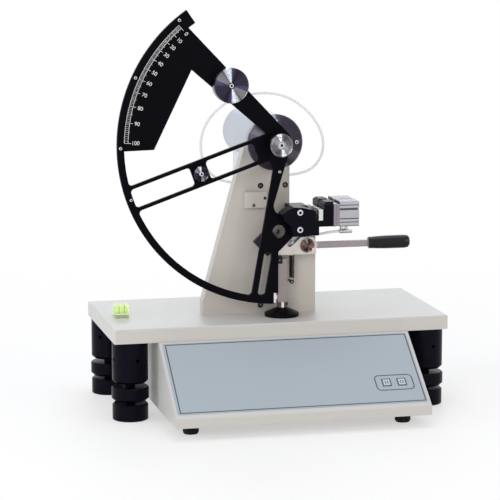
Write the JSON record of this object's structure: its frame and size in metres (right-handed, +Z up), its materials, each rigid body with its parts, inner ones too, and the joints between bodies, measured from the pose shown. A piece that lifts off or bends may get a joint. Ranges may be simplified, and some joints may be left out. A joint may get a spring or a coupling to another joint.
{
  "type": "pendulum strength testing machine",
  "caption": "Bench pendulum tearing tester: graduated sector on a pivot, air clamps, knife lever and a sloping control box under a levelled base plate.",
  "frame": {"origin": "on the bench, midway along the whole machine's width and depth", "axes": "+Z up; the operator stands on the -Y side; +X to the operator's right, where the knife lever's grip is"},
  "size_m": [0.48, 0.343, 0.5648],
  "materials": {
    "white_paint": "satin",
    "black_metal": "gloss",
    "panel_film": "matte",
    "key_plastic": "matte",
    "board_green": "matte",
    "rubber": "matte",
    "aluminium": "satin",
    "black_plastic": "gloss",
    "steel": "satin",
    "polished_steel": "gloss",
    "acrylic": "gloss",
    "vial_green": "gloss",
    "blue_grey_metal": "satin",
    "dark_metal": "satin",
    "black_sheet": "satin",
    "scale_black": "satin",
    "hose_clear": "satin"
  },
  "bodies": {
    "stand": {"base_plate": "white_paint", "foot_tubes": "black_metal", "foot_pads": "black_metal", "control_box_cover": "white_paint", "control_box_panels": "white_paint", "panel_overlay": "panel_film", "circuit_board": "board_green", "box_feet": "rubber", "power_supply": "aluminium", "air_valve": "aluminium", "power_inlet": "black_plastic", "air_inlet": "steel", "level_block": "acrylic", "level_vial": "vial_green", "shaft_bearings": "steel", "bearing_barrel": "blue_grey_metal", "barrel_flange": "dark_metal", "barrel_cap": "blue_grey_metal", "angle_encoder": "black_plastic", "pillar_plate": "white_paint", "rear_column": "white_paint", "sensor_cover": "white_paint", "stand_screws": "steel", "latch_block": "dark_metal", "release_post": "aluminium", "post_foot": "black_metal", "lever_rest_block": "black_plastic", "lever_pivot": "polished_steel", "return_spring": "steel", "fixed_clamp_body": "dark_metal", "fixed_clamp_plates": "steel", "fixed_clamp_cylinder": "aluminium", "loop_hose": "hose_clear", "clamp_hose": "hose_clear", "hose_fittings": "steel"},
    "pendulum": {"pendulum_plate": "black_sheet", "scale_plate": "scale_black", "counterweights": "polished_steel", "pendulum_screws": "steel", "pivot_hub": "polished_steel", "hub_boss": "black_metal", "pivot_shaft": "steel", "moving_clamp_body": "dark_metal", "moving_clamp_plates": "steel", "moving_clamp_cylinder": "aluminium"},
    "moving_clamp_jaw": {"moving_jaw": "steel"},
    "fixed_clamp_jaw": {"fixed_jaw_slide": "steel"},
    "knife_lever": {"knife_lever_arm": "aluminium", "lever_grip": "black_plastic"},
    "knife": {"knife_carrier": "steel", "knife_blade": "polished_steel"},
    "catch": {"catch_tooth": "polished_steel"},
    "clamp_button": {"clamp_key": "key_plastic"},
    "release_button": {"release_key": "key_plastic"},
    "rocker": {"power_rocker": "black_plastic"},
    "ring_front_left": {"foot_ring_front_left": "black_metal"},
    "ring_front_right": {"foot_ring_front_right": "black_metal"},
    "ring_back_left": {"foot_ring_back_left": "black_metal"},
    "ring_back_right": {"foot_ring_back_right": "black_metal"}
  },
  "joints": [
    {"name": "pendulum_swing", "type": "hinge", "parent": "stand", "child": "pendulum", "pos_m": [0, 0, 0.3777], "axis": [0, -1, 0], "range_deg": [0, 130]},
    {"name": "moving_jaw_slide", "type": "slide", "parent": "pendulum", "child": "moving_clamp_jaw", "axis": [-1, 0, 0], "range_m": [0, 0.0042]},
    {"name": "fixed_jaw_slide", "type": "slide", "parent": "stand", "child": "fixed_clamp_jaw", "axis": [-1, 0, 0], "range_m": [0, 0.0042]},
    {"name": "knife_lever_turn", "type": "hinge", "parent": "stand", "child": "knife_lever", "pos_m": [0.047, 0.0035, 0.23], "axis": [0, 1, 0], "range_deg": [0, 25], "stiffness_Nm_per_rad": 0.4, "springref_deg": -34.38, "deforming": ["return_spring"]},
    {"name": "knife_rise", "type": "slide", "parent": "stand", "child": "knife", "axis": [0, 0, 1], "range_m": [0, 0.00875]},
    {"name": "catch_slide", "type": "slide", "parent": "stand", "child": "catch", "axis": [1, 0, 0], "range_m": [0, 0.0035], "stiffness_N_per_m": 200, "springref_m": -0.001},
    {"name": "clamp_key_press", "type": "slide", "parent": "stand", "child": "clamp_button", "axis": [0, 0.5758, -0.8176], "range_m": [0, 0.0008], "stiffness_N_per_m": 300, "springref_m": -0.001},
    {"name": "release_key_press", "type": "slide", "parent": "stand", "child": "release_button", "axis": [0, 0.5758, -0.8176], "range_m": [0, 0.0008], "stiffness_N_per_m": 300, "springref_m": -0.001},
    {"name": "rocker_tilt", "type": "hinge", "parent": "stand", "child": "rocker", "pos_m": [-0.08, 0.1485, 0.062], "axis": [1, 0, 0], "range_deg": [-8, 8]},
    {"name": "ring_front_left_turn", "type": "hinge", "parent": "stand", "child": "ring_front_left", "pos_m": [-0.214, -0.0265, 0.037], "axis": [0, 0, 1], "continuous": true},
    {"name": "ring_front_right_turn", "type": "hinge", "parent": "stand", "child": "ring_front_right", "pos_m": [0.214, -0.0265, 0.037], "axis": [0, 0, 1], "continuous": true},
    {"name": "ring_back_left_turn", "type": "hinge", "parent": "stand", "child": "ring_back_left", "pos_m": [-0.214, 0.1455, 0.037], "axis": [0, 0, 1], "continuous": true},
    {"name": "ring_back_right_turn", "type": "hinge", "parent": "stand", "child": "ring_back_right", "pos_m": [0.214, 0.1455, 0.037], "axis": [0, 0, 1], "continuous": true}
  ],
  "couplings": [
    {"joint": "knife_rise", "follows": "knife_lever_turn", "m_per_rad": 0.02005}
  ]
}
